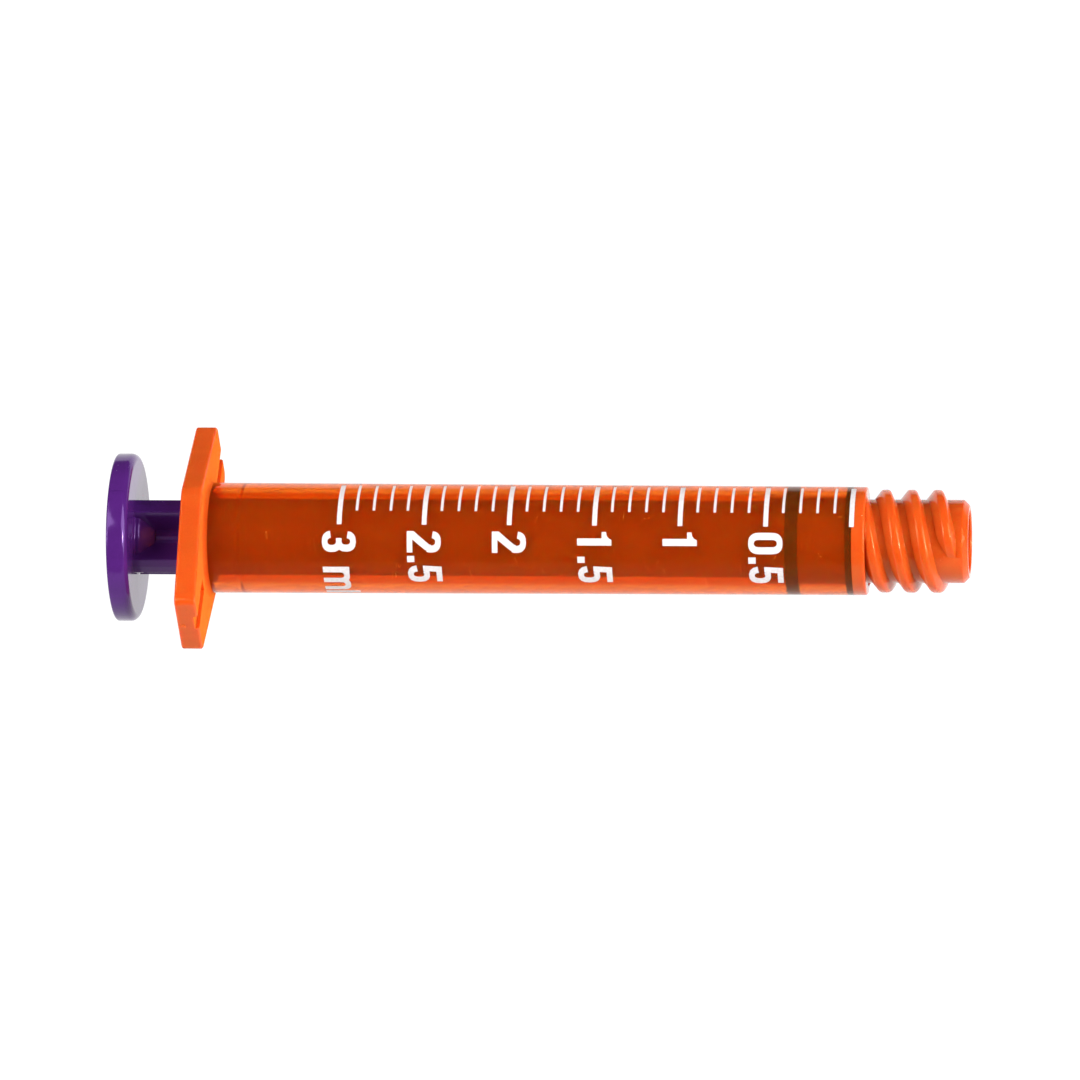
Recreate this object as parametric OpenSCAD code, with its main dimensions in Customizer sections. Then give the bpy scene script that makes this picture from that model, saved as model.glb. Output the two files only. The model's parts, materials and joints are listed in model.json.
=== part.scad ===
// Oral syringe, 3 ml, with a wide threaded nozzle.
// The syringe lies along X. The mouth of the nozzle is at the origin and faces +X.
// The finger flange's long way is Y. Angles round the barrel run from +Y towards +Z.

/* [Barrel] */
// Bore diameter
bore_d = 8.8; // [8.6:0.1:9.0]
// Volume printed on the scale, in ml
capacity_ml = 3; // [3]
// Outside diameter of the tube at the finger flange
tube_back_d = 10.68; // [10.5:0.02:10.8]
// Outside diameter of the tube at its front end
tube_front_d = 10.42; // [10.3:0.02:10.6]
// Thickness of the wall across the front end
end_wall = 1.2; // [1.0:0.1:1.3]
// Bore beyond the longest mark, from that mark to the flange's back face
bore_past_scale = 15.32; // [15:0.02:16]
// Diameter of the hole through the end wall
fluid_hole_d = 2.0; // [1.2:0.1:2.4]

/* [Finger flange] */
// Thickness
flange_t = 2.08; // [1.8:0.02:2.4]
// Overall length across both wings
flange_len = 22.4; // [20:0.1:24]
// Width across the middle
flange_mid_w = 14.3; // [13:0.1:15]
// Width at each end
flange_end_w = 7.2; // [6:0.1:8]
// Width of the groove along each wing
groove_w = 1.7; // [1.5:0.1:2.5]
// Depth of that groove
groove_depth = 0.4; // [0.3:0.05:0.6]
// Distance of that groove from the middle of the wing
groove_aside = 0.6; // [0:0.1:1]

/* [Nozzle] */
// Length in front of the tube
nozzle_len = 9.8; // [9:0.1:10.5]
// Outside diameter at the thread's root
nozzle_d = 8.02; // [7.9:0.02:8.2]
// Diameter of the socket
socket_d = 6.0; // [5.8:0.05:6.1]
// Chamfer round the mouth
mouth_chamfer = 0.53; // [0.3:0.01:0.6]
// Diameter over the thread's crests
thread_d = 9.92; // [9.6:0.02:10.1]
// Advance of one thread start in a full turn
thread_lead = 5.0; // [4.8:0.1:5.2]
// Number of thread starts
thread_starts = 2; // [1:1:2]

/* [Plunger rod] */
// Diameter of the thumb disc
disc_d = 16.26; // [15:0.1:17]
// Thickness of the thumb disc
disc_t = 2.0; // [1.6:0.1:2.4]
// Gap between the thumb disc and the finger flange when pushed in
disc_gap = 4.92; // [4:0.02:6]
// Diameter over the four vanes
vane_d = 8.44; // [8.2:0.02:8.5]
// Thickness of a vane
vane_t = 1.78; // [1.4:0.02:2.0]
// Turn of the vanes about the axis, in degrees
vane_turn = -7.5; // [-45:0.5:45]

/* [Stopper] */
// Diameter of the two seal rings
seal_d = 8.74; // [8.70:0.01:8.78]
// Diameter between the seal rings
waist_d = 8.3; // [8.0:0.05:8.4]
// Length
stopper_len = 7.1; // [6.5:0.1:7.5]

/* [Printed scale] */
// Volume between two short marks, in ml
minor_step_ml = 0.1; // [0.1]
// Volume between two long marks, in ml
major_step_ml = 0.5; // [0.5]
// Angle where every mark begins
mark_from = 57.4; // [50:0.1:65]
// Angle where the long marks end
major_to = 115.3; // [110:0.1:118]
// Angle where the short marks end
minor_to = 99.7; // [95:0.1:105]
// Width of the long marks
major_w = 0.46; // [0.3:0.01:0.6]
// Width of the short marks
minor_w = 0.25; // [0.2:0.01:0.4]
// Angle where the numerals begin
text_from = 122; // [118:1:130]
// Height of the numerals
text_h = 3.3; // [3:0.05:3.5]
// Width of one numeral
digit_w = 2.06; // [1.9:0.02:2.2]
// Thickness of the ink
ink_t = 0.02; // [0.02:0.005:0.04]

/* [Hidden] */
$fn = 96;
eps = 0.01;

// Along the axis, from the mouth backwards
bore_r = bore_d / 2;
ml_len = 1000 / (PI * bore_r * bore_r);
tube_front_x = -nozzle_len;
bore_end_x = tube_front_x - end_wall;
zero_x = bore_end_x - 0.04;
scale_end_x = zero_x - capacity_ml * ml_len;
flange_back_x = scale_end_x - bore_past_scale;
flange_front_x = flange_back_x + flange_t;
disc_front_x = flange_back_x - disc_gap;
disc_back_x = disc_front_x - disc_t;

// Tube
tube_back_r = tube_back_d / 2;
tube_front_r = tube_front_d / 2;
tube_edge = 0.2;
flange_fillet = 0.45;
bore_lead_in = 0.3;
ridge_x = flange_back_x + 5.25;
ridge_w = 0.6;
ridge_h = 0.1;

// Flange
flange_round_mid = 2.2;
flange_round_end = 0.7;
flange_edge = 0.22;
groove_from = 6.4;
gate_r = 0.28;
gate_proud = 0.1;
gate_inset = 0.55;

// Thread, whose crest passes thread_top_angle at thread_top_x
nozzle_r = nozzle_d / 2;
socket_r = socket_d / 2;
thread_r = thread_d / 2;
thread_foot_r = nozzle_r - 0.25;
thread_crest_w = 0.72;
thread_back_flank = 0.72;
thread_front_flank = 0.42;
flank_reach = (thread_r - thread_foot_r) / (thread_r - nozzle_r);
thread_top_x = -3.08;
thread_top_angle = 40;
thread_end_angle = 158;
thread_back_x = -10.3;
thread_fade = 42;
thread_step = 9;

// Rod
disc_r = disc_d / 2;
disc_front_round = 0.7;
disc_back_round = 0.22;
hub_r = 3.45;
hub_len = 0.5;
hub_cone_len = 1.4;
hub_cone_r = 2.0;
vane_r = vane_d / 2;
vane_root_r = 1.3;
collar_r = 4.2;
collar_t = 1.1;
neck_r = 1.22;
head_r = 2.0;
head_tip_r = 1.1;
head_back_len = 0.5;
head_len = 2.3;
neck_len = 1.5;
snap_gap = 0.08;

// Stopper
seal_r = seal_d / 2;
waist_r = waist_d / 2;
stopper_front_x = bore_end_x - 0.1;
stopper_back_x = stopper_front_x - stopper_len;
rear_seal_from = 0.62;
rear_seal_to = 1.98;
front_seal_len = 0.72;
seal_round = 0.1;
collar_front_x = stopper_back_x - 0.1;
collar_back_x = collar_front_x - collar_t;

// Ink
ink_gap = 0.006;
minor_count = round(capacity_ml / minor_step_ml);
marks_per_long = round(major_step_ml / minor_step_ml);
char_gap_deg = 3.5;
dot_w = 0.64;
stroke = 0.68;
thin_stroke = 0.54;
unit_from = 161;
unit_stroke = 0.62;
unit_x_h = 2.56;
unit_m_w = 3.3;

function tube_r(x) = tube_back_r
    + (tube_front_r - tube_back_r) * (x - flange_back_x) / (tube_front_x - flange_back_x);
function deg_of(length) = length / tube_front_r * 180 / PI;

// Points of a round corner of radius r between the directions from and to
function corner(c, r, from, to, n = 5) =
    [for (i = [0:n]) c + r * [cos(from + (to - from) * i / n), sin(from + (to - from) * i / n)]];

// Turns a shape made along Z so that it lies along X
module along_x(x = 0) { translate([x, 0, 0]) rotate([0, 90, 0]) children(); }

// Turns an outline of [distance along X, radius] points about the X axis
module turned(points) {
    rotate([0, 90, 0]) rotate_extrude() polygon([for (p = points) [p[1], p[0]]]);
}

// ---- Barrel ----

// Six-sided outline of the flange, in the YZ plane, drawn smaller by inset
module flange_outline(inset) {
    half_len = flange_len / 2 - inset;
    half_end = flange_end_w / 2 - inset * 0.7;
    half_mid = flange_mid_w / 2 - inset;
    slope = atan((half_mid - half_end) / half_len);
    r_mid = flange_round_mid;
    r_end = flange_round_end;
    mid_y = half_mid - r_mid / cos(slope);
    end_x = half_len - r_end;
    end_y = half_end - r_end * (1 - sin(slope)) / cos(slope);
    polygon(concat(
        corner([end_x, end_y], r_end, 0, 90 - slope),
        corner([0, mid_y], r_mid, 90 - slope, 90 + slope),
        corner([-end_x, end_y], r_end, 90 + slope, 180),
        corner([-end_x, -end_y], r_end, 180, 270 - slope),
        corner([0, -mid_y], r_mid, 270 - slope, 270 + slope),
        corner([end_x, -end_y], r_end, 270 + slope, 360)));
}

// Plate across the barrel, from x to x + t
module flange_plate(x, t, inset) {
    translate([x, 0, 0]) rotate([90, 0, 90]) linear_extrude(t) flange_outline(inset);
}

module flange() {
    difference() {
        hull() {
            flange_plate(flange_back_x, flange_t, flange_edge);
            flange_plate(flange_back_x + flange_edge, flange_t - 2 * flange_edge, 0);
        }
        for (side = [0, 180])
            rotate([side, 0, 0])
                translate([flange_front_x - groove_depth, groove_from, -groove_aside - groove_w / 2])
                    cube([flange_t, flange_len, groove_w]);
    }
    // Gate mark on the end of one wing
    translate([flange_back_x + gate_inset, -flange_len / 2 - gate_proud, 0])
        rotate([-90, 0, 0]) cylinder(h = 1, r = gate_r);
}

module tube_outside() {
    turned([
        [flange_back_x + eps, 0],
        [flange_back_x + eps, tube_back_r],
        [flange_front_x - eps, tube_back_r],
        [flange_front_x - eps, tube_r(flange_front_x) + flange_fillet],
        [flange_front_x + flange_fillet / 3, tube_r(flange_front_x) + flange_fillet / 3],
        [flange_front_x + flange_fillet, tube_r(flange_front_x + flange_fillet)],
        [tube_front_x - tube_edge, tube_r(tube_front_x - tube_edge)],
        [tube_front_x, tube_front_r - tube_edge],
        [tube_front_x, 0]]);
}

module nozzle_outside() {
    turned([
        [tube_front_x - eps, 0],
        [tube_front_x - eps, nozzle_r],
        [-mouth_chamfer, nozzle_r],
        [0, nozzle_r - mouth_chamfer],
        [0, 0]]);
}

// One thread start: a ridge swept along a right-handed helix, fading out near the mouth
module thread_start(turn) {
    turn_len = (thread_top_x - thread_back_x) / thread_lead * 360
        + (thread_end_angle - thread_top_angle);
    count = ceil(turn_len / thread_step);
    function fade(i) = min(1, (count - i) * thread_step / thread_fade);
    function angle(i) = thread_end_angle - (count - i) * thread_step;
    function place(i) = thread_top_x + (angle(i) - thread_top_angle) / 360 * thread_lead;
    function rise(i) = sin(90 * fade(i));
    function crest(i) = thread_foot_r + (thread_r - thread_foot_r) * rise(i) + 0.02 * (1 - fade(i));
    function foot(i, flank) = thread_crest_w / 2 + flank * flank_reach * rise(i);
    function point(i, x, r) = [place(i) + x, r * cos(angle(i) + turn), r * sin(angle(i) + turn)];
    function ring(i) = [
        point(i, -foot(i, thread_back_flank), thread_foot_r),
        point(i, -thread_crest_w / 2, crest(i)),
        point(i, thread_crest_w / 2, crest(i)),
        point(i, foot(i, thread_front_flank), thread_foot_r)];
    polyhedron(
        points = [for (i = [0:count]) each ring(i)],
        faces = concat(
            [[3, 2, 1, 0]],
            [for (i = [0:count - 1]) for (k = [0:3]) let (a = 4 * i + k, b = 4 * i + (k + 1) % 4)
                each [[a, b, a + 4], [b, b + 4, a + 4]]],
            [[4 * count, 4 * count + 1, 4 * count + 2, 4 * count + 3]]),
        convexity = 8);
}

module barrel() {
    color([0.93, 0.36, 0.12, 0.7]) {
        difference() {
            union() {
                tube_outside();
                flange();
                nozzle_outside();
                for (i = [0:thread_starts - 1]) thread_start(i * 360 / thread_starts);
            }
            along_x(flange_back_x - 1) cylinder(h = bore_end_x - flange_back_x + 1, r = bore_r);
            along_x(flange_back_x - eps)
                cylinder(h = bore_lead_in, r1 = bore_r + bore_lead_in, r2 = bore_r);
            along_x(bore_end_x - 1) cylinder(h = end_wall + 2, d = fluid_hole_d);
            along_x(tube_front_x) cylinder(h = nozzle_len + 1, r = socket_r);
        }
        // Ring that keeps the stopper in
        turned([
            [ridge_x - ridge_w / 2, bore_r + 0.1],
            [ridge_x - ridge_w / 2, bore_r],
            [ridge_x - ridge_w / 6, bore_r - ridge_h],
            [ridge_x + ridge_w / 6, bore_r - ridge_h],
            [ridge_x + ridge_w / 2, bore_r],
            [ridge_x + ridge_w / 2, bore_r + 0.1]]);
    }
}

// ---- Stopper ----

module stopper() {
    b = stopper_back_x;
    f = stopper_front_x;
    neck = neck_r + snap_gap;
    head = head_r + snap_gap;
    head_x = collar_front_x + neck_len - snap_gap;
    head_end_x = collar_front_x + neck_len + head_len + snap_gap;
    color([0.16, 0.15, 0.15])
        turned([
            [b, neck + 0.3],
            [b, waist_r - 0.15],
            [b + 0.15, waist_r],
            [b + rear_seal_from - seal_round, waist_r],
            [b + rear_seal_from, seal_r - seal_round],
            [b + rear_seal_from + seal_round, seal_r],
            [b + rear_seal_to - seal_round, seal_r],
            [b + rear_seal_to, seal_r - seal_round],
            [b + rear_seal_to + seal_round, waist_r],
            [f - front_seal_len - seal_round, waist_r],
            [f - front_seal_len, seal_r - seal_round],
            [f - front_seal_len + seal_round, seal_r],
            [f - 0.15, seal_r],
            [f, seal_r - 0.15],
            [f, 0],
            [head_end_x, 0],
            [head_end_x, head_tip_r + snap_gap],
            [head_x + head_back_len, head],
            [head_x, head],
            [head_x, neck],
            [b + 0.3, neck]]);
}

// ---- Plunger rod ----

module vane_cross() {
    from = disc_front_x - eps;
    length = collar_back_x + eps - from;
    intersection() {
        union() {
            for (a = [0, 90])
                rotate([vane_turn + a, 0, 0])
                    translate([from, -vane_r - 1, -vane_t / 2]) cube([length, 2 * vane_r + 2, vane_t]);
            along_x(from) cylinder(h = length, r = vane_root_r);
        }
        along_x(from - 1) cylinder(h = length + 2, r = vane_r);
    }
}

module plunger_rod() {
    collar_neck_x = collar_front_x + neck_len;
    color([0.34, 0.13, 0.55]) {
        turned([
            [disc_back_x, 0],
            [disc_back_x, disc_r - disc_back_round],
            [disc_back_x + disc_back_round, disc_r],
            [disc_front_x - disc_front_round, disc_r],
            [disc_front_x - disc_front_round * 0.62, disc_r - disc_front_round * 0.08],
            [disc_front_x - disc_front_round * 0.29, disc_r - disc_front_round * 0.29],
            [disc_front_x - disc_front_round * 0.08, disc_r - disc_front_round * 0.62],
            [disc_front_x, disc_r - disc_front_round],
            [disc_front_x, hub_r + 0.3],
            [disc_front_x + 0.3, hub_r],
            [disc_front_x + hub_len, hub_r],
            [disc_front_x + hub_len + hub_cone_len, hub_cone_r],
            [disc_front_x + hub_len + hub_cone_len, 0]]);
        vane_cross();
        turned([
            [collar_back_x, 0],
            [collar_back_x, collar_r - 0.1],
            [collar_back_x + 0.1, collar_r],
            [collar_front_x - 0.1, collar_r],
            [collar_front_x, collar_r - 0.1],
            [collar_front_x, neck_r],
            [collar_neck_x, neck_r],
            [collar_neck_x, head_r],
            [collar_neck_x + head_back_len, head_r],
            [collar_neck_x + head_len, head_tip_r],
            [collar_neck_x + head_len, 0]]);
    }
}

// ---- Printed scale ----

// Thin skin just outside the tube, from x to x + length
module ink_skin(x, length) {
    difference() {
        along_x(x) cylinder(h = length, r1 = tube_r(x) + ink_gap + ink_t,
            r2 = tube_r(x + length) + ink_gap + ink_t);
        along_x(x - 1) cylinder(h = length + 2, r1 = tube_r(x - 1) + ink_gap,
            r2 = tube_r(x + length + 1) + ink_gap);
    }
}

// Wedge from the axis outwards, between two angles under 180 degrees apart
module wedge(x, length, from, to) {
    far = 20;
    translate([x, 0, 0]) rotate([90, 0, 90]) linear_extrude(length)
        polygon([[0, 0], far * [cos(from), sin(from)], far * [cos(to), sin(to)]]);
}

module mark(i, width, to) {
    x = zero_x - i * minor_step_ml * ml_len - width / 2;
    intersection() {
        ink_skin(x, width);
        wedge(x - 1, width + 2, mark_from, to);
    }
}

module scale_long_marks() {
    color("white")
        for (i = [0:marks_per_long:minor_count]) mark(i, major_w, major_to);
}

module scale_short_marks() {
    color("white")
        for (i = [0:minor_count]) if (i % marks_per_long != 0) mark(i, minor_w, minor_to);
}

// Point at angle a on a squarish oval of half-axes 1
function oval(a, k = 0.84) = [sign(cos(a)) * pow(abs(cos(a)), k), sign(sin(a)) * pow(abs(sin(a)), k)];

// Band of width w inside a squarish oval with half-axes rx and ry, from one angle to another
module bowl(c, rx, ry, from, to, w = stroke, n = 12) {
    polygon(concat(
        [for (i = [0:n]) let (p = oval(from + (to - from) * i / n)) c + [rx * p[0], ry * p[1]]],
        [for (i = [n:-1:0]) let (p = oval(from + (to - from) * i / n))
            c + [(rx - w) * p[0], (ry - thin_stroke) * p[1]]]));
}

module glyph_0() {
    r = digit_w / 2;
    straight = text_h - 2 * r + 2 * eps;
    bowl([r, text_h - r], r, r, 0, 180);
    bowl([r, r], r, r, 180, 360);
    translate([0, r - eps]) square([stroke, straight]);
    translate([digit_w - stroke, r - eps]) square([stroke, straight]);
}

module glyph_1() {
    stem = 0.62;
    flag = 2.36;
    polygon([[stem, 0], [stem + stroke, 0], [stem + stroke, text_h], [stem + 0.14, text_h],
        [stem - 0.02, text_h - 0.28], [stem - 0.26, text_h - 0.46], [0, text_h - 0.52],
        [0, flag], [stem, flag]]);
}

module glyph_2() {
    r = digit_w / 2;
    ry = 0.95;
    foot = 0.54;
    bowl([r, text_h - ry], r, ry, -25, 172);
    polygon([[0, 0], [digit_w, 0], [digit_w, foot], [0.8, foot],
        [1.78, text_h - ry - 0.62], [digit_w - 0.05, text_h - ry - 0.2],
        [r + 0.3, text_h - ry], [r + 0.22, text_h - ry - 0.22], [0, 0.64]]);
}

module glyph_3() {
    r = digit_w / 2;
    ry = text_h / 4 + thin_stroke / 4;
    bowl([r, text_h - ry], r * 0.96, ry, -80, 172);
    bowl([r, ry], r, ry, -172, 80);
    translate([r - 0.32, (text_h - thin_stroke) / 2]) square([0.62, thin_stroke]);
}

module glyph_5() {
    r = digit_w / 2;
    ry = 1.06;
    bowl([r, ry], r, ry, -172, 128);
    translate([0.14, text_h - thin_stroke]) square([digit_w - 0.22, thin_stroke]);
    polygon([[0.04, 1.5], [0.56, 1.5], [0.9, 1.72], [0.66, 2.05], [0.74, text_h - eps],
        [0.14, text_h - eps]]);
}

module glyph_dot() { square([dot_w, dot_w + 0.06]); }

module glyph_m() {
    arch = (unit_m_w - unit_stroke) / 2;
    for (i = [0:2]) translate([i * arch, 0]) square([unit_stroke, unit_x_h - 0.6]);
    translate([0, unit_x_h - 0.7]) square([unit_stroke, 0.7]);
    for (i = [0, 1])
        bowl([unit_stroke / 2 + arch * (i + 0.5), unit_x_h - 0.9],
            arch / 2 + unit_stroke / 2, 0.9, 0, 180, unit_stroke);
}

module glyph_l() { square([unit_stroke * 0.85, text_h]); }

// Stands a glyph on the tube: its left side at angle from, its foot at x, its top towards the mouth
module on_tube(x, from, width) {
    middle = from + deg_of(width) / 2;
    intersection() {
        ink_skin(x - 0.5, text_h + 1);
        rotate([middle, 0, 0]) translate([x, 0, -width / 2]) rotate(a = 240, v = [1, 1, 1])
            linear_extrude(tube_back_r + 1) children();
    }
}

module digit(value, x, from) {
    on_tube(x, from, digit_w) {
        if (value == 0) glyph_0();
        if (value == 1) glyph_1();
        if (value == 2) glyph_2();
        if (value == 3) glyph_3();
        if (value == 5) glyph_5();
    }
}

module scale_numerals() {
    dot_from = text_from + deg_of(digit_w) + char_gap_deg;
    second_from = dot_from + deg_of(dot_w) + char_gap_deg;
    color("white")
        for (i = [1:round(capacity_ml / major_step_ml)]) {
            value = i * major_step_ml;
            foot_x = zero_x - value * ml_len - text_h / 2;
            digit(floor(value), foot_x, text_from);
            if (value != floor(value)) {
                on_tube(foot_x, dot_from, dot_w) glyph_dot();
                digit(5, foot_x, second_from);
            }
        }
}

module scale_unit_mark() {
    foot_x = zero_x - capacity_ml * ml_len - text_h / 2;
    color("white") {
        on_tube(foot_x, unit_from, unit_m_w) glyph_m();
        on_tube(foot_x, unit_from + deg_of(unit_m_w) + char_gap_deg, unit_stroke) glyph_l();
    }
}

barrel();
stopper();
plunger_rod();
scale_long_marks();
scale_short_marks();
scale_numerals();
scale_unit_mark();
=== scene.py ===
import json
import math

import bmesh
import bpy
from mathutils import Matrix, Vector


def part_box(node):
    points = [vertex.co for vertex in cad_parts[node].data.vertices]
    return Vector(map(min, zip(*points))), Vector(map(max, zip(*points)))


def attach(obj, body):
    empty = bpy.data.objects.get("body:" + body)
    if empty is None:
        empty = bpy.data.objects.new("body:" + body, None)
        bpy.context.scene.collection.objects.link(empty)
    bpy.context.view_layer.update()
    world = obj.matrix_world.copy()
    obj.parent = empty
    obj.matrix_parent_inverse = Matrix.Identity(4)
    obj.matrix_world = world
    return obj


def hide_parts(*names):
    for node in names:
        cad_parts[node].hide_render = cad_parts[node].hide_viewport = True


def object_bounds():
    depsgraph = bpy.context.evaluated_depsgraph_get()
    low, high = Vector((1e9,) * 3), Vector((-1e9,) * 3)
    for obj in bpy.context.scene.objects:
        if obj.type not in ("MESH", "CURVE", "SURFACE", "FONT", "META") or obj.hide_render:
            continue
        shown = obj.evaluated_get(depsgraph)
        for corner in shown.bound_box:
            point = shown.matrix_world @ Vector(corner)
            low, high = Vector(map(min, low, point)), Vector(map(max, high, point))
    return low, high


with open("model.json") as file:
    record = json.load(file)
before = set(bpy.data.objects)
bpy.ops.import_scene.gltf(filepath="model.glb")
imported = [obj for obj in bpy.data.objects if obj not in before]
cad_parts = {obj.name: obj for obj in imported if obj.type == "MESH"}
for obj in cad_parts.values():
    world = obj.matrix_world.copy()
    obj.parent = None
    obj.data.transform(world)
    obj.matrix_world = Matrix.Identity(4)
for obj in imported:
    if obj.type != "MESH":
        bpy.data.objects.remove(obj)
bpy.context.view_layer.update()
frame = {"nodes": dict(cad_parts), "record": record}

MM = 0.001

# Lengths below are in millimetres, along X from the nozzle's mouth.
# What the frame knows is read from it.
STOPPER_LOW, STOPPER_HIGH = (Vector(c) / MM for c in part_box("stopper"))
ROD_LOW, ROD_HIGH = (Vector(c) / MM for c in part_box("plunger_rod"))
BARREL_LOW = Vector(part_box("barrel")[0]) / MM
MOUNTS = {m["name"]: m for m in frame["record"]["mounts"]}
SOCKET_R = MOUNTS["tip_socket"]["dims"]["r_mm"]
NOZZLE_LEN = MOUNTS["tip_socket"]["dims"]["length_mm"]

# ---------------------------------------------------------------- camera

# The view is square to the syringe's axis, turned a little towards its tip.
# Across the axis it comes from the side where the flange's +Y wing leans away.
VIEW_ACROSS = math.radians(130.0)    # angle about X, from +Y towards +Z
VIEW_YAW = math.radians(6.257)       # towards the tip
VIEW_ROLL = math.radians(0.30)       # of the picture
VIEW_DISTANCE = 867.9 * MM
VIEW_AIM = Vector((-41.5 * MM, 0.0, 0.0))
VIEW_AIM_LOW = 0.07 * MM             # how far below the axis it looks
LENS_MM = 300.0
SENSOR_MM = 36.0
CLIP_NEAR = 0.01
CLIP_FAR = 20


def make_camera():
    along = Vector((1, 0, 0))
    towards = Vector((0, math.cos(VIEW_ACROSS), math.sin(VIEW_ACROSS)))
    upright = towards.cross(along)
    back = along * math.sin(VIEW_YAW) + towards * math.cos(VIEW_YAW)
    right = upright.cross(back)
    up_rolled = upright * math.cos(VIEW_ROLL) - right * math.sin(VIEW_ROLL)
    right_rolled = up_rolled.cross(back)
    data = bpy.data.cameras.new("camera")
    data.lens = LENS_MM
    data.sensor_width = SENSOR_MM
    data.clip_start = CLIP_NEAR
    data.clip_end = CLIP_FAR
    camera = bpy.data.objects.new("camera", data)
    bpy.context.collection.objects.link(camera)
    aim = VIEW_AIM - upright * VIEW_AIM_LOW
    place = aim + back * VIEW_DISTANCE
    turn = Matrix((right_rolled, up_rolled, back)).transposed()
    camera.matrix_world = Matrix.Translation(place) @ turn.to_4x4()
    bpy.context.scene.camera = camera


# ---------------------------------------------------------------- stage

FLOOR_SIZE = 8.0
FLOOR_DROP = 0.3 * MM                # below the object's lowest point
FLOOR_MIDDLE_X = -0.04
FLOOR_GLOW = 1.04
FLOOR_ALBEDO = 0.04
ROOM_BRIGHT = 1.0
ROOM_DIM = 0.4
DIM_EDGE = (0.1, 0.8)                # cosines of the angles from the camera where the dimming runs
LIGHT_MIDDLE = Vector((-0.041, 0, 0))
LIGHT_DISTANCE = 0.8


def make_floor():
    """Pale floor that glows, so that the object's shadow on it stays faint."""
    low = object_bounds()[0]
    spot = (FLOOR_MIDDLE_X, 0, low[2] - FLOOR_DROP)
    bpy.ops.mesh.primitive_plane_add(size=FLOOR_SIZE, location=spot)
    floor = bpy.context.object
    floor.name = "floor"
    mat, _, shader = new_material("floor_lightbox")
    set_sockets(shader, {
        "Base Color": (FLOOR_ALBEDO, FLOOR_ALBEDO, FLOOR_ALBEDO, 1),
        "Roughness": 0.9,
        "Specular IOR Level": 0.0,
        "Emission Color": (1, 1, 1, 1),
        "Emission Strength": FLOOR_GLOW})
    paint(floor, mat)


def make_world():
    """White studio walls with a dim patch round the camera, where the room is open."""
    world = bpy.data.worlds.new("studio")
    world.use_nodes = True
    tree = world.node_tree
    place = tree.nodes.new("ShaderNodeTexCoord")
    towards = tree.nodes.new("ShaderNodeVectorMath")
    towards.operation = "DOT_PRODUCT"
    towards.inputs[1].default_value = (0.0, math.cos(VIEW_ACROSS), math.sin(VIEW_ACROSS))
    fall = tree.nodes.new("ShaderNodeMapRange")
    fall.interpolation_type = "SMOOTHSTEP"
    set_sockets(fall, {
        "From Min": DIM_EDGE[0],
        "From Max": DIM_EDGE[1],
        "To Min": ROOM_BRIGHT,
        "To Max": ROOM_DIM})
    tree.links.new(place.outputs["Generated"], towards.inputs[0])
    tree.links.new(towards.outputs["Value"], fall.inputs["Value"])
    tree.links.new(fall.outputs["Result"], tree.nodes["Background"].inputs["Strength"])
    bpy.context.scene.world = world


def softbox(name, direction, size, power):
    """Rectangular light that faces the middle of the syringe from a direction."""
    data = bpy.data.lights.new(name, "AREA")
    data.shape = "RECTANGLE"
    data.size = size[0]
    data.size_y = size[1]
    data.energy = power
    light = bpy.data.objects.new(name, data)
    bpy.context.collection.objects.link(light)
    light.location = LIGHT_MIDDLE + Vector(direction).normalized() * LIGHT_DISTANCE
    light.rotation_euler = (LIGHT_MIDDLE - light.location).to_track_quat("-Z", "Y").to_euler()


# ---------------------------------------------------------------- mesh helpers

TURN_SEGMENTS = 160
ON_AXIS = 1e-6                       # a smaller radius is a point on the axis
STRAIGHT = 0.9999                    # cosine past which a corner isn't one
MERGE = 0.0004 * MM
SLIVER = 0.0002 * MM
SHARP_DEG = 38
FLAT_WEIGHT = 80                     # how much a large face rules the shading at its edges


def add_object(name, mesh_data, body):
    """Piece of the finished model, which rides on a CAD body."""
    piece = bpy.data.objects.new(name, mesh_data)
    bpy.context.collection.objects.link(piece)
    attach(piece, body)
    return piece


def temporary(name, bm):
    """Object that a later step joins, cuts with or finishes."""
    data = bpy.data.meshes.new(name)
    bm.normal_update()
    bm.to_mesh(data)
    bm.free()
    piece = bpy.data.objects.new(name, data)
    bpy.context.collection.objects.link(piece)
    return piece


def rounded(corners, steps=4):
    """Outline with its corners rounded. Each corner is (x, y) or (x, y, radius)."""
    points = []
    count = len(corners)
    for i, corner in enumerate(corners):
        here = Vector(corner[:2])
        radius = corner[2] if len(corner) > 2 else 0
        before = (Vector(corners[i - 1][:2]) - here).normalized()
        after = (Vector(corners[(i + 1) % count][:2]) - here).normalized()
        if radius == 0 or abs(before.dot(after)) > STRAIGHT:
            points.append(here)
            continue
        half = before.angle(after) / 2
        middle = here + (before + after).normalized() * (radius / math.sin(half))
        first = here + before * (radius / math.tan(half)) - middle
        last = here + after * (radius / math.tan(half)) - middle
        sweep = first.angle_signed(last)
        for k in range(steps + 1):
            points.append(middle + Matrix.Rotation(-sweep * k / steps, 2) @ first)
    return points


def lathe(outline):
    """Closed solid turned about the X axis from a closed outline of (x, radius)."""
    bm = bmesh.new()
    turns = [2 * math.pi * k / TURN_SEGMENTS for k in range(TURN_SEGMENTS)]
    around = [(math.cos(a), math.sin(a)) for a in turns]
    rings = []
    for x, r in outline:
        if r < ON_AXIS:
            rings.append([bm.verts.new((x * MM, 0, 0))])
        else:
            rings.append([bm.verts.new((x * MM, r * MM * c, r * MM * s)) for c, s in around])
    for ring, following in zip(rings, rings[1:] + rings[:1]):
        join_rings(bm, ring, following)
    bmesh.ops.recalc_face_normals(bm, faces=bm.faces)
    return bm


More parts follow.
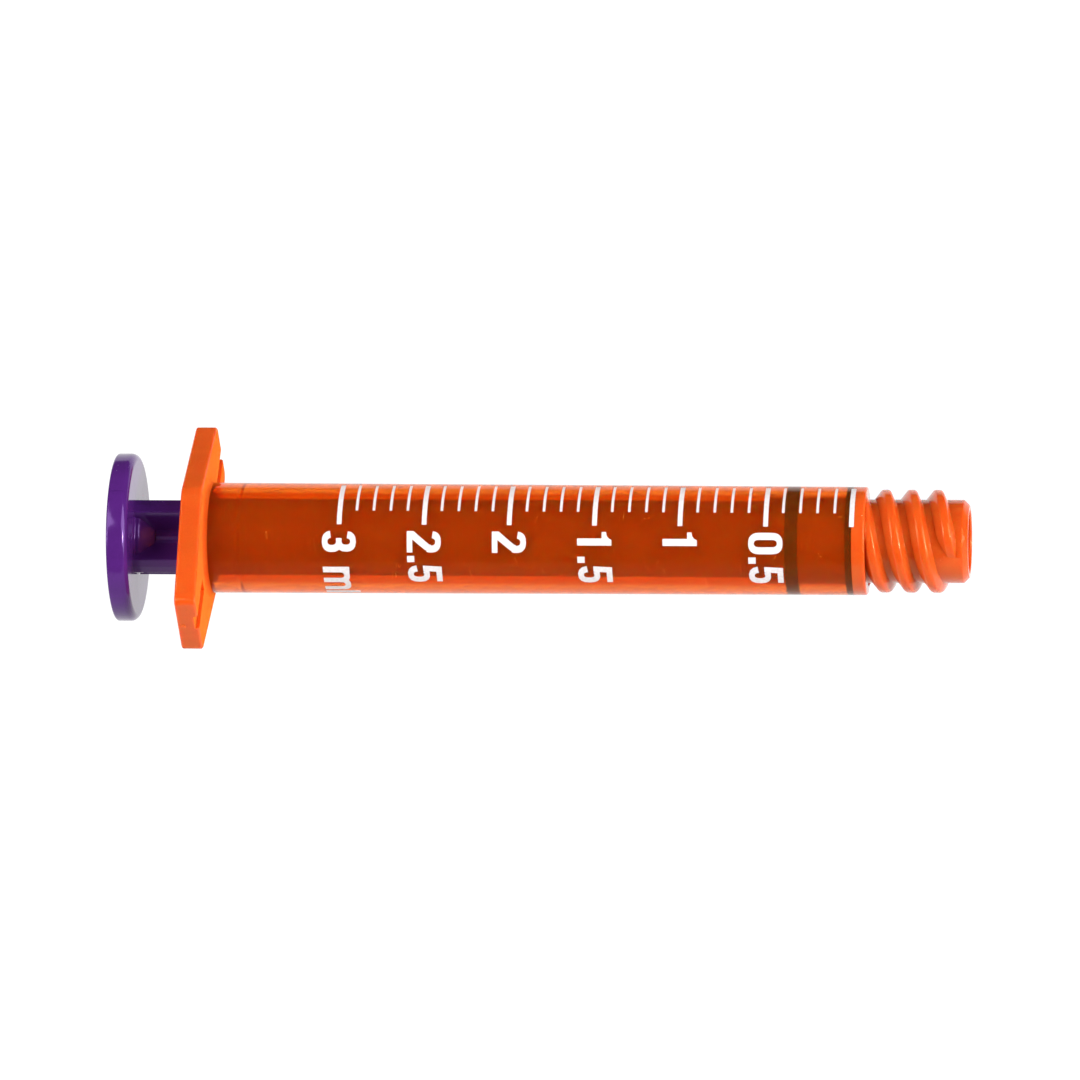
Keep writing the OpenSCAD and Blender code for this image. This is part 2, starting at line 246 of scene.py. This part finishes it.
def join_rings(bm, ring, following):
    """Faces between two rings of points. A ring of one point is a tip."""
    count = max(len(ring), len(following))
    if count == 1:
        return
    for k in range(count):
        n = (k + 1) % count
        corners = [ring[k % len(ring)], ring[n % len(ring)],
                   following[n % len(following)], following[k % len(following)]]
        bm.faces.new(list(dict.fromkeys(corners)))


def loft(sections):
    """Closed solid through sections, each a list of the same number of 3-D points."""
    bm = bmesh.new()
    rings = [[bm.verts.new(Vector(p) * MM) for p in section] for section in sections]
    for ring, following in zip(rings, rings[1:]):
        join_rings(bm, ring, following)
    bm.faces.new(rings[0])
    bm.faces.new(rings[-1])
    bmesh.ops.recalc_face_normals(bm, faces=bm.faces)
    return bm


def combine(base, tools, operation):
    """Adds the tools to the base, or cuts them from it, and deletes them."""
    for tool in tools:
        step = base.modifiers.new(operation.lower(), "BOOLEAN")
        step.operation = operation
        step.solver = "EXACT"
        step.object = tool
        apply_modifiers(base)
        bpy.data.objects.remove(tool, do_unlink=True)


def apply_modifiers(piece):
    """Replaces the piece's mesh by what its modifiers make of it."""
    graph = bpy.context.evaluated_depsgraph_get()
    result = bpy.data.meshes.new_from_object(piece.evaluated_get(graph))
    piece.modifiers.clear()
    piece.data = result


def finish_mesh(piece, name):
    """Cleans slivers, shades smooth between sharp edges, and returns the mesh."""
    bm = bmesh.new()
    bm.from_mesh(piece.data)
    bmesh.ops.remove_doubles(bm, verts=bm.verts, dist=MERGE)
    bmesh.ops.dissolve_degenerate(bm, dist=SLIVER, edges=bm.edges)
    bm.to_mesh(piece.data)
    bm.free()
    piece.data.shade_smooth()
    piece.data.set_sharp_from_angle(angle=math.radians(SHARP_DEG))
    even = piece.modifiers.new("even", "WEIGHTED_NORMAL")
    even.keep_sharp = True
    even.weight = FLAT_WEIGHT
    apply_modifiers(piece)
    mesh_data = piece.data
    mesh_data.name = name
    bpy.data.objects.remove(piece, do_unlink=True)
    return mesh_data


# ---------------------------------------------------------------- barrel

JOIN = 0.2                           # how deep joined solids reach into each other
HAIR = 0.02                          # a step or tolerance too small to see
BORE_R = 4.4
BORE_LEAD_IN = 0.3
BORE_FOOT_ROUND = 0.12
END_WALL = 1.2
FLUID_HOLE_R = 1.0
TUBE_BACK_R = 5.34
TUBE_FRONT_R = 5.21
TUBE_EDGE = 0.2
FLANGE_T = 2.08
FLANGE_FILLET = 0.45
FLANGE_EDGE = 0.22
FLANGE_END_W = 7.2
FLANGE_MID_W = 14.3
FLANGE_LEN = 22.4
FLANGE_ROUND_MID = 2.2
FLANGE_ROUND_END = 0.7
GROOVE_W = 1.7
GROOVE_DEPTH = 0.4
GROOVE_ASIDE = 0.6
GROOVE_FROM = 6.4
RIDGE_FROM_BACK = 5.25
RIDGE_W = 0.6
RIDGE_H = 0.1
RIDGE_ROUND = 0.3
CORE_FROM_BACK = 0.3                 # where the turned core starts, inside the flange
NOZZLE_R = 4.01
NOZZLE_FOOT_ROUND = 0.12
MOUTH_CHAMFER = 0.53
SOCKET_FOOT_ROUND = 0.2
SOCKET_LEAD_IN = 0.12
HOLE_ROUND = 0.08                    # on the fluid hole's edges and on the mouth's
EDGE_ROUND = 0.1                     # on the other small edges
LEAD_IN_ROUND = 0.03
GATE_R = 0.3
GATE_TIP_R = 0.26
GATE_LEN = 0.6
GATE_FROM_BACK = 0.55
THREAD_R = 4.96
THREAD_FOOT_R = 3.8
FLANK_REACH = (THREAD_R - THREAD_FOOT_R) / (THREAD_R - NOZZLE_R)
CREST_ROUND = 0.32
THREAD_LEAD = 5.0
THREAD_STARTS = 2
THREAD_CREST_W = 0.72
THREAD_FLANKS = (0.72, 0.42)         # towards the flange, towards the mouth
THREAD_TOP = (-3.08, 40)             # where a crest passes: x, and angle in degrees
THREAD_END_DEG = 158
THREAD_FADE_DEG = 42
THREAD_BACK_X = -10.3
THREAD_STEP_DEG = 4
THREAD_LEAST_RISE = 0.03             # of its full height, where a ridge has faded out

FLANGE_BACK_X = BARREL_LOW.x
FLANGE_FRONT_X = FLANGE_BACK_X + FLANGE_T
TUBE_FRONT_X = -NOZZLE_LEN
BORE_END_X = TUBE_FRONT_X - END_WALL
WALL_END_GAP = 0.05                  # the clear wall stops this far behind the bore's end


def tube_r(x):
    """Outside radius of the tapered tube."""
    share = (x - FLANGE_BACK_X) / (TUBE_FRONT_X - FLANGE_BACK_X)
    return TUBE_BACK_R + (TUBE_FRONT_R - TUBE_BACK_R) * share


def tube_solid():
    """Outside of the tube and nozzle as one turned solid."""
    core_back = FLANGE_BACK_X + CORE_FROM_BACK
    fillet_foot = tube_r(FLANGE_FRONT_X)
    fillet_top = fillet_foot + FLANGE_FILLET + EDGE_ROUND
    wall_end = BORE_END_X - WALL_END_GAP
    outline = rounded([
        (core_back, 0),
        (core_back, TUBE_BACK_R - JOIN),
        (FLANGE_FRONT_X - JOIN, TUBE_BACK_R - JOIN),
        (FLANGE_FRONT_X - JOIN, fillet_top),
        (FLANGE_FRONT_X - HAIR, fillet_top),
        (FLANGE_FRONT_X + HAIR, fillet_foot, FLANGE_FILLET),
        (wall_end, tube_r(wall_end)),
        (TUBE_FRONT_X, TUBE_FRONT_R, TUBE_EDGE),
        (TUBE_FRONT_X, NOZZLE_R, NOZZLE_FOOT_ROUND),
        (-MOUTH_CHAMFER, NOZZLE_R, EDGE_ROUND),
        (0, NOZZLE_R - MOUTH_CHAMFER, HOLE_ROUND),
        (0, 0)])
    return temporary("tube", lathe(outline))


def flange_outline(inset):
    """The flange seen along X, drawn in by the inset with its slanted sides kept parallel."""
    half_len = FLANGE_LEN / 2 - inset
    half_end = FLANGE_END_W / 2 - inset * 0.7
    half_mid = FLANGE_MID_W / 2 - inset
    end, mid = FLANGE_ROUND_END, FLANGE_ROUND_MID
    return rounded([
        (half_len, -half_end, end), (half_len, half_end, end), (0, half_mid, mid),
        (-half_len, half_end, end), (-half_len, -half_end, end), (0, -half_mid, mid)], 6)


def flange_solid():
    """Six-sided plate with rounded edges, made of outlines stacked along X."""
    sections = []
    steps = 4
    for k in range(steps + 1):
        turn = math.pi / 2 * k / steps
        inset = FLANGE_EDGE * (1 - math.sin(turn))
        x = FLANGE_BACK_X + FLANGE_EDGE * (1 - math.cos(turn))
        sections.append([(x, p.x, p.y) for p in flange_outline(inset)])
    mirrored = [[(FLANGE_BACK_X + FLANGE_FRONT_X - x, y, z) for x, y, z in s] for s in sections]
    return temporary("flange", loft(sections + mirrored[::-1]))


def groove_cutter(side):
    """Bar that cuts the groove along one wing, with small radii at its foot."""
    x = FLANGE_FRONT_X - GROOVE_DEPTH
    low = -GROOVE_ASIDE - GROOVE_W / 2
    high = low + GROOVE_W
    clear = x + 2
    section = rounded([(x, low, EDGE_ROUND), (x, high, EDGE_ROUND), (clear, high), (clear, low)])
    ends = [[(p.x, side * y, side * p.y) for p in section] for y in (GROOVE_FROM, FLANGE_LEN)]
    return temporary("groove", loft(ends))


def gate_mark():
    """Trimmed stub where the plastic came in, on the end of the -Y wing."""
    bm = bmesh.new()
    bmesh.ops.create_cone(bm, cap_ends=True, segments=24, radius1=GATE_R * MM,
                          radius2=GATE_TIP_R * MM, depth=GATE_LEN * MM)
    turn = Matrix.Rotation(math.pi / 2, 4, "X")
    place = Vector((FLANGE_BACK_X + GATE_FROM_BACK, -FLANGE_LEN / 2 + JOIN, 0)) * MM
    bmesh.ops.transform(bm, matrix=Matrix.Translation(place) @ turn, verts=bm.verts)
    return temporary("gate", bm)


def thread_solid(turn_deg):
    """One thread start: a rounded ridge along a right-handed helix that fades out."""
    top_x, top_deg = THREAD_TOP
    total = (top_x - THREAD_BACK_X) / THREAD_LEAD * 360 + THREAD_END_DEG - top_deg
    count = math.ceil(total / THREAD_STEP_DEG)
    back, front = THREAD_FLANKS
    half = THREAD_CREST_W / 2
    sections = []
    for i in range(count + 1):
        fade = min(1, (count - i) * THREAD_STEP_DEG / THREAD_FADE_DEG)
        deg = THREAD_END_DEG - (count - i) * THREAD_STEP_DEG
        x = top_x + (deg - top_deg) / 360 * THREAD_LEAD
        rise = max(math.sin(math.pi / 2 * fade), THREAD_LEAST_RISE)
        crest = THREAD_FOOT_R + (THREAD_R - THREAD_FOOT_R) * rise
        reach = FLANK_REACH * rise
        soft = CREST_ROUND * rise
        profile = rounded([(-half - back * reach, THREAD_FOOT_R), (-half, crest, soft),
                           (half, crest, soft), (half + front * reach, THREAD_FOOT_R)], 4)
        angle = math.radians(deg + turn_deg)
        sections.append([(x + p.x, p.y * math.cos(angle), p.y * math.sin(angle)) for p in profile])
    return temporary("thread", loft(sections))


def hollow_cutter():
    """Everything that is open inside: bore, fluid hole and nozzle socket."""
    back = FLANGE_BACK_X
    ridge = back + RIDGE_FROM_BACK
    outline = rounded([
        (back - 1, 0),
        (back - 1, BORE_R + BORE_LEAD_IN),
        (back, BORE_R + BORE_LEAD_IN, EDGE_ROUND),
        (back + BORE_LEAD_IN, BORE_R, EDGE_ROUND),
        (ridge - RIDGE_W / 2, BORE_R, EDGE_ROUND),
        (ridge, BORE_R - RIDGE_H, RIDGE_ROUND),
        (ridge + RIDGE_W / 2, BORE_R, EDGE_ROUND),
        (BORE_END_X, BORE_R, BORE_FOOT_ROUND),
        (BORE_END_X, FLUID_HOLE_R, HOLE_ROUND),
        (TUBE_FRONT_X, FLUID_HOLE_R, HOLE_ROUND),
        (TUBE_FRONT_X, SOCKET_R, SOCKET_FOOT_ROUND),
        (-SOCKET_LEAD_IN, SOCKET_R, EDGE_ROUND),
        (0, SOCKET_R + SOCKET_LEAD_IN, LEAD_IN_ROUND),
        (1, SOCKET_R + SOCKET_LEAD_IN),
        (1, 0)])
    return temporary("hollow", lathe(outline))


SOLID, CLEAR_WALL, MILKY_BORE, MATT_FACE = range(4)


def barrel_zone(face):
    """Which of the barrel's four plastics a face shows."""
    x = face.center.x / MM
    r = math.hypot(face.center.y, face.center.z) / MM
    finger_face = x < FLANGE_FRONT_X + HAIR / 2 and face.normal.x > 0.9
    fillet = 0 < x - FLANGE_FRONT_X < FLANGE_FILLET and r > BORE_R + BORE_LEAD_IN
    if finger_face or fillet:
        return MATT_FACE
    if FLANGE_BACK_X + BORE_LEAD_IN + 0.05 < x < BORE_END_X - HAIR and r < BORE_R + HAIR:
        return MILKY_BORE
    if FLANGE_FRONT_X + FLANGE_FILLET < x < BORE_END_X - WALL_END_GAP and r > BORE_R + HAIR:
        return CLEAR_WALL
    return SOLID


def build_barrel():
    shell = tube_solid()
    threads = [thread_solid(i * 360 / THREAD_STARTS) for i in range(THREAD_STARTS)]
    combine(shell, [flange_solid(), gate_mark()] + threads, "UNION")
    combine(shell, [hollow_cutter(), groove_cutter(1), groove_cutter(-1)], "DIFFERENCE")
    piece = add_object("barrel_moulding", finish_mesh(shell, "barrel_moulding"), "barrel")
    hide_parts("barrel")
    paint(piece, solid_plastic(), wall_plastic(), bore_plastic(), matt_plastic())
    for face in piece.data.polygons:
        face.material_index = barrel_zone(face)


# ---------------------------------------------------------------- stopper

CONTACT = 0.03                       # how far a seal ring is pressed into the bore's wall
WAIST_R = 4.15
REAR_SEAL = (0.62, 1.98)             # from the stopper's back
FRONT_SEAL_LEN = 0.72
SEAL_SLANT = 0.06                    # length of the slant up to a seal ring
SEAL_ROUND = 0.08
SEAL_STARTS = 0.12                   # above the waist, where a ring's own rubber shows
STEM_HOLE_R = 1.3
STEM_HOLE_LEAD_IN = 0.3
POCKET_FROM_BACK = 1.32              # where the pocket for the rod's head starts
POCKET_LEN = 2.96
POCKET_STRAIGHT = 0.5
HEAD_HOLE_R = 2.08
HEAD_TIP_HOLE_R = 1.18

# Zones: the stopper's body, then its rear and front seal rings, which get darker rubber than the
# body
BODY_FACE, REAR_SEAL_FACE, FRONT_SEAL_FACE = range(3)


def stopper_zone(face):
    """Which rubber a face shows. The seal rings get darker rubber than the rest of the stopper,
    the rear ring darkest.
    """
    r = math.hypot(face.center.y, face.center.z) / MM
    if r < WAIST_R + SEAL_STARTS:
        return BODY_FACE
    in_front = face.center.x / MM > (STOPPER_LOW.x + STOPPER_HIGH.x) / 2
    return FRONT_SEAL_FACE if in_front else REAR_SEAL_FACE


def build_stopper():
    """Rubber with two seal rings, and a pocket for the rod's head."""
    back, front = STOPPER_LOW.x, STOPPER_HIGH.x
    seal = BORE_R + CONTACT
    rear_from, rear_to = (back + x for x in REAR_SEAL)
    front_from = front - FRONT_SEAL_LEN
    pocket = back + POCKET_FROM_BACK
    outline = rounded([
        (back, STEM_HOLE_R + STEM_HOLE_LEAD_IN),
        (back, WAIST_R, 0.15),
        (rear_from, WAIST_R, SEAL_ROUND),
        (rear_from + SEAL_SLANT, seal, SEAL_ROUND),
        (rear_to - SEAL_SLANT, seal, SEAL_ROUND),
        (rear_to, WAIST_R, SEAL_ROUND),
        (front_from, WAIST_R, SEAL_ROUND),
        (front_from + SEAL_SLANT, seal, SEAL_ROUND),
        (front - HAIR, seal, 0.1),
        (front, WAIST_R - 0.1, 0.2),
        (front, 0),
        (pocket + POCKET_LEN, 0),
        (pocket + POCKET_LEN, HEAD_TIP_HOLE_R, 0.1),
        (pocket + POCKET_STRAIGHT, HEAD_HOLE_R, 0.1),
        (pocket, HEAD_HOLE_R),
        (pocket, STEM_HOLE_R),
        (back + STEM_HOLE_LEAD_IN, STEM_HOLE_R)])
    solid = temporary("stopper", lathe(outline))
    piece = add_object("stopper_rubber", finish_mesh(solid, "stopper_rubber"), "stopper")
    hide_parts("stopper")
    # The rear seal ring's rubber is darkest, the front ring's a little lighter, the body's
    # lightest
    paint(piece, elastomer("dry_elastomer", 0.085), elastomer("rear_seal_elastomer", 0.045),
          elastomer("front_seal_elastomer", 0.065))
    for face in piece.data.polygons:
        face.material_index = stopper_zone(face)


# ---------------------------------------------------------------- plunger rod

DISC_T = 2.0
DISC_FRONT_ROUND = 0.7
DISC_BACK_ROUND = 0.22
HUB_R = 3.45
HUB_LEN = 0.5
HUB_CONE_LEN = 1.4
HUB_CONE_R = 2.0
VANE_R = 4.22
VANE_T = 1.78
VANE_TURN = math.radians(-7.5)
VANE_EDGE = 0.14
VALLEY_ROUND = 0.9
COLLAR_GAP = 0.1                     # between the collar and the stopper's back
COLLAR_R = 4.2
COLLAR_T = 1.1
NECK_R = 1.22
NECK_LEN = 1.5
HEAD_R = 2.0
HEAD_TIP_R = 1.1
HEAD_STRAIGHT = 0.5
HEAD_LEN = 2.3
NICK_SIZE = Vector((3.0, 0.5, 0.09))
NICK_PROUD = 0.19                    # of the rim, at the nick's middle
NICK_TURN = VIEW_ACROSS - math.radians(33)


def vane_section():
    """Cross of four vanes with rounded tips and filleted valleys, in the YZ plane."""
    half = VANE_T / 2
    side = math.sqrt(VANE_R * VANE_R - half * half)
    corners = ((side, -half, VANE_EDGE), (VANE_R, 0), (side, half, VANE_EDGE),
               (half, half, VALLEY_ROUND))
    points = []
    for quarter in range(4):
        turn = Matrix.Rotation(quarter * math.pi / 2 + VANE_TURN, 2)
        for corner in corners:
            spot = turn @ Vector(corner[:2])
            points.append((spot.x, spot.y) + corner[2:])
    return rounded(points)


def vanes_solid(start, end):
    sections = [[(x, p.x, p.y) for p in vane_section()] for x in (start, end)]
    return temporary("vanes", loft(sections))


def disc_and_hub():
    back = ROD_LOW.x
    front = back + DISC_T
    radius = ROD_HIGH.z
    cone_end = front + HUB_LEN + HUB_CONE_LEN
    outline = rounded([
        (back, 0),
        (back, radius, DISC_BACK_ROUND),
        (front, radius, DISC_FRONT_ROUND),
        (front, HUB_R, 0.25),
        (front + HUB_LEN, HUB_R, 0.5),
        (cone_end, HUB_CONE_R, 0.4),
        (cone_end, 0)], 6)
    return temporary("disc", lathe(outline))


def collar_and_head():
    front = STOPPER_LOW.x - COLLAR_GAP
    back = front - COLLAR_T
    neck = front + NECK_LEN
    outline = rounded([
        (back, 0),
        (back, COLLAR_R, 0.12),
        (front, COLLAR_R, 0.12),
        (front, NECK_R, 0.1),
        (neck, NECK_R, 0.05),
        (neck, HEAD_R, 0.1),
        (neck + HEAD_STRAIGHT, HEAD_R, 0.3),
        (neck + HEAD_LEN, HEAD_TIP_R, 0.2),
        (neck + HEAD_LEN, 0)])
    return temporary("head", lathe(outline))


def rim_nick():
    """Shallow mark that the mould's parting line left across the disc's rim."""
    bm = bmesh.new()
    bmesh.ops.create_cube(bm, size=1)
    bmesh.ops.scale(bm, vec=NICK_SIZE * MM, verts=bm.verts)
    place = Vector((ROD_LOW.x + DISC_T / 2, ROD_HIGH.z + NICK_PROUD, 0)) * MM
    bmesh.ops.translate(bm, vec=place, verts=bm.verts)
    bmesh.ops.transform(bm, matrix=Matrix.Rotation(NICK_TURN, 4, "X"), verts=bm.verts)
    return temporary("nick", bm)


def build_rod():
    rod = disc_and_hub()
    start = ROD_LOW.x + DISC_T - JOIN
    end = STOPPER_LOW.x - COLLAR_T + JOIN
    combine(rod, [vanes_solid(start, end), collar_and_head()], "UNION")
    combine(rod, [rim_nick()], "DIFFERENCE")
    piece = add_object("rod_moulding", finish_mesh(rod, "rod_moulding"), "plunger")
    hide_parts("plunger_rod")
    paint(piece, rod_plastic())


# ---------------------------------------------------------------- materials

PER_METRE = 1 / MM                   # turns metres into the millimetres the textures are scaled in


def new_material(name):
    mat = bpy.data.materials.new(name)
    mat.use_nodes = True
    return mat, mat.node_tree, mat.node_tree.nodes["Principled BSDF"]


def set_sockets(node, values):
    for socket, value in values.items():
        node.inputs[socket].default_value = value


def paint(piece, *materials):
    """Gives the piece its materials, in the order of its zones."""
    piece.data.materials.clear()
    for mat in materials:
        piece.data.materials.append(mat)


def millimetres(tree, stretch=(1, 1, 1)):
    """Place on the piece in millimetres, with each axis drawn out by its stretch."""
    place = tree.nodes.new("ShaderNodeTexCoord")
    mapping = tree.nodes.new("ShaderNodeMapping")
    mapping.inputs["Scale"].default_value = tuple(PER_METRE / s for s in stretch)
    tree.links.new(place.outputs["Object"], mapping.inputs["Vector"])
    return mapping.outputs["Vector"]


def noise(tree, vector, scale, detail=3, distortion=0.0):
    node = tree.nodes.new("ShaderNodeTexNoise")
    set_sockets(node, {"Scale": scale, "Detail": detail, "Distortion": distortion})
    tree.links.new(vector, node.inputs["Vector"])
    return node.outputs["Fac"]


def remap(tree, value, from_min, from_max, to_min, to_max):
    node = tree.nodes.new("ShaderNodeMapRange")
    set_sockets(node, {
        "From Min": from_min, "From Max": from_max, "To Min": to_min, "To Max": to_max})
    tree.links.new(value, node.inputs["Value"])
    return node.outputs["Result"]


def arithmetic(tree, operation, a, b=0):
    """Math node whose inputs are numbers or sockets."""
    node = tree.nodes.new("ShaderNodeMath")
    node.operation = operation
    for socket, value in zip(node.inputs, (a, b)):
        if isinstance(value, (int, float)):
            socket.default_value = value
        else:
            tree.links.new(value, socket)
    return node.outputs["Value"]


def between(tree, share, low, high):
    """Colour between low and high by a share. Each is a colour or a socket."""
    node = tree.nodes.new("ShaderNodeMix")
    node.data_type = "RGBA"
    tree.links.new(share, node.inputs["Factor"])
    for socket, colour in ((node.inputs["A"], low), (node.inputs["B"], high)):
        if isinstance(colour, tuple):
            socket.default_value = (*colour, 1)
        else:
            tree.links.new(colour, socket)
    return node.outputs["Result"]


def scaled(colour, share):
    return tuple(min(c * share, 1) for c in colour)


def dots(tree, scale, radius, seldom):
    """Small round specks: 1 inside one, 0 outside. A share seldom of the cells has none."""
    cells = tree.nodes.new("ShaderNodeTexVoronoi")
    cells.inputs["Scale"].default_value = scale
    tree.links.new(millimetres(tree), cells.inputs["Vector"])
    spot = remap(tree, cells.outputs["Distance"], radius * 0.6, radius, 1, 0)
    pick = tree.nodes.new("ShaderNodeSeparateColor")
    tree.links.new(cells.outputs["Color"], pick.inputs["Color"])
    chosen = remap(tree, pick.outputs["Red"], seldom, seldom + 0.001, 0, 1)
    return arithmetic(tree, "MULTIPLY", spot, chosen)


def scratches(tree, stretch, scale, thin, seldom):
    """Short fine scratches, drawn out by the stretch: 1 on a scratch, 0 beside it."""
    lines = noise(tree, millimetres(tree, stretch), scale, detail=1)
    near = arithmetic(tree, "ABSOLUTE", arithmetic(tree, "SUBTRACT", lines, 0.5))
    line = remap(tree, near, 0, thin, 1, 0)
    cloud = noise(tree, millimetres(tree), scale=0.45, detail=1)
    patch = remap(tree, cloud, seldom, seldom + 0.05, 0, 1)
    return arithmetic(tree, "MULTIPLY", line, patch)


def emboss(tree, shader, height, distance):
    """Bump of the given height in millimetres."""
    bump = tree.nodes.new("ShaderNodeBump")
    bump.inputs["Distance"].default_value = distance * MM
    tree.links.new(height, bump.inputs["Height"])
    tree.links.new(bump.outputs["Normal"], shader.inputs["Normal"])


def moulded_detail(tree, shader, base, speck, variation, rough, peel):
    """What every moulded plastic here shows.

    Streaks where it flowed along the mould, fine grain, scattered specks, an even finish
    broken by handling scratches, and the slight orange peel of the mould's surface.
    """
    streaks = noise(tree, millimetres(tree, (9, 1, 1)), scale=0.35, detail=2, distortion=0.6)
    grain = noise(tree, millimetres(tree), scale=7.0, detail=2)
    tone = arithmetic(tree, "ADD", arithmetic(tree, "MULTIPLY", streaks, 0.6),
                      arithmetic(tree, "MULTIPLY", grain, 0.4))
    share = remap(tree, tone, 0.35, 0.65, 0, 1)
    shade = between(tree, share, scaled(base, 1 - variation), scaled(base, 1 + variation))
    specks = dots(tree, scale=1.0, radius=0.06, seldom=0.88)
    tree.links.new(between(tree, specks, shade, speck), shader.inputs["Base Color"])

    marks = scratches(tree, stretch=(1.5, 14, 14), scale=2.2, thin=0.006, seldom=0.62)
    cloud = noise(tree, millimetres(tree, (3, 1, 1)), scale=0.25, detail=4)
    handled = arithmetic(tree, "MULTIPLY", remap(tree, cloud, 0.3, 0.7, -0.3, 0.4), rough)
    finish = arithmetic(tree, "ADD", handled, rough)
    finish = arithmetic(tree, "ADD", finish, arithmetic(tree, "MULTIPLY", marks, 0.25))
    tree.links.new(finish, shader.inputs["Roughness"])

    skin = noise(tree, millimetres(tree), scale=2.4, detail=2)
    relief = arithmetic(tree, "SUBTRACT", skin, arithmetic(tree, "MULTIPLY", marks, 0.3))
    emboss(tree, shader, relief, peel)


ORANGE = (0.61, 0.087, 0.010)
ORANGE_SPECK = (0.85, 0.42, 0.16)
WALL_TINT = (1.0, 0.19, 0.018)       # what light takes on in passing through the tube's outside
BORE_TINT = (1.0, 0.34, 0.035)       # and through its inside
PURPLE = (0.060, 0.011, 0.125)
PURPLE_SPECK = (0.20, 0.12, 0.32)
INK_THIN = (0.56, 0.51, 0.505)
INK_THICK = (0.65, 0.625, 0.63)
INK_PINHOLE = (0.70, 0.36, 0.22)


def amber(name, base, clear, rough, peel, finish):
    """Orange plastic that lets the share clear of the light straight through."""
    mat, tree, shader = new_material(name)
    moulded_detail(tree, shader, base, ORANGE_SPECK, variation=0.07, rough=rough, peel=peel)
    set_sockets(shader, {
        "IOR": 1.28,
        "Specular IOR Level": 0.3,
        "Specular Tint": (1.0, 0.42, 0.12, 1),
        "Transmission Weight": clear,
        "Subsurface Weight": 1.0,
        "Subsurface Radius": (1.0, 0.3, 0.1),
        "Subsurface Scale": 0.6 * MM})
    set_sockets(shader, finish)
    return mat


def solid_plastic():
    """Thick plastic of the nozzle and of the flange's edges."""
    return amber("amber_solid", ORANGE, clear=0.08, rough=0.08, peel=0.004, finish={
        "IOR": 1.46,
        "Specular IOR Level": 0.5,
        "Specular Tint": (1.0, 0.72, 0.36, 1),
        "Subsurface Scale": 1.0 * MM})


def matt_plastic():
    """The flange's finger face and the fillet at the tube's foot."""
    return amber("amber_matt", ORANGE, clear=0.0, rough=0.6, peel=0.004, finish={
        "IOR": 1.40,
        "Specular IOR Level": 0.0})


def wall_plastic():
    """Outside of the tube, nearly clear."""
    return amber("amber_wall", WALL_TINT, clear=0.93, rough=0.05, peel=0.001, finish={})


def bore_plastic():
    """Inside of the tube, where the plastic's milkiness shows."""
    return amber("amber_bore", BORE_TINT, clear=0.74, rough=0.10, peel=0.001, finish={})


def rod_plastic():
    """Opaque purple plastic."""
    mat, tree, shader = new_material("purple_plastic")
    moulded_detail(tree, shader, PURPLE, PURPLE_SPECK, variation=0.10, rough=0.13, peel=0.003)
    set_sockets(shader, {"IOR": 1.5, "Specular Tint": (0.66, 0.42, 1.0, 1)})
    return mat


def elastomer(name, grey):
    """Dark rubber with a fine pebbled skin and a little dust."""
    mat, tree, shader = new_material(name)
    base = (grey, grey * 0.96, grey * 0.92)
    cloud = remap(tree, noise(tree, millimetres(tree), scale=1.1, detail=4), 0.3, 0.7, 0, 1)
    shade = between(tree, cloud, scaled(base, 0.85), scaled(base, 1.15))
    dust = dots(tree, scale=2.2, radius=0.12, seldom=0.8)
    tree.links.new(between(tree, dust, shade, scaled(base, 2.2)), shader.inputs["Base Color"])
    tree.links.new(remap(tree, cloud, 0, 1, 0.42, 0.58), shader.inputs["Roughness"])
    emboss(tree, shader, noise(tree, millimetres(tree), scale=9.0), 0.006)
    shader.inputs["Specular IOR Level"].default_value = 0.2
    return mat


def ink_material():
    """Printed white ink: a mottled film with pinholes that show the amber below."""
    mat, tree, shader = new_material("white_ink")
    mottle = remap(tree, noise(tree, millimetres(tree), scale=4.5, detail=4), 0.32, 0.68, 0, 1)
    shade = between(tree, mottle, INK_THIN, INK_THICK)
    pinholes = dots(tree, scale=5.0, radius=0.13, seldom=0.9)
    tree.links.new(between(tree, pinholes, shade, INK_PINHOLE), shader.inputs["Base Color"])
    tree.links.new(remap(tree, mottle, 0, 1, 0.66, 0.5), shader.inputs["Roughness"])
    emboss(tree, shader, noise(tree, millimetres(tree), scale=12.0), 0.004)
    shader.inputs["Specular IOR Level"].default_value = 0.3
    return mat


make_camera()
make_floor()
make_world()
softbox("left_softbox", direction=(-0.70, -0.28, 0.70), size=(0.5, 0.9), power=7.6)
softbox("right_softbox", direction=(0.80, -0.20, 0.58), size=(0.5, 0.9), power=8.6)
softbox("right_key", direction=(0.77, -0.41, 0.49), size=(0.13, 0.13), power=4.0)
softbox("left_key", direction=(-0.77, -0.41, 0.49), size=(0.12, 0.12), power=1.0)

build_barrel()
build_stopper()
build_rod()
ink = ink_material()
for node in ("scale_long_marks", "scale_short_marks", "scale_numerals", "scale_unit_mark"):
    paint(frame["nodes"][node], ink)

bpy.context.scene.view_settings.view_transform = "Standard"
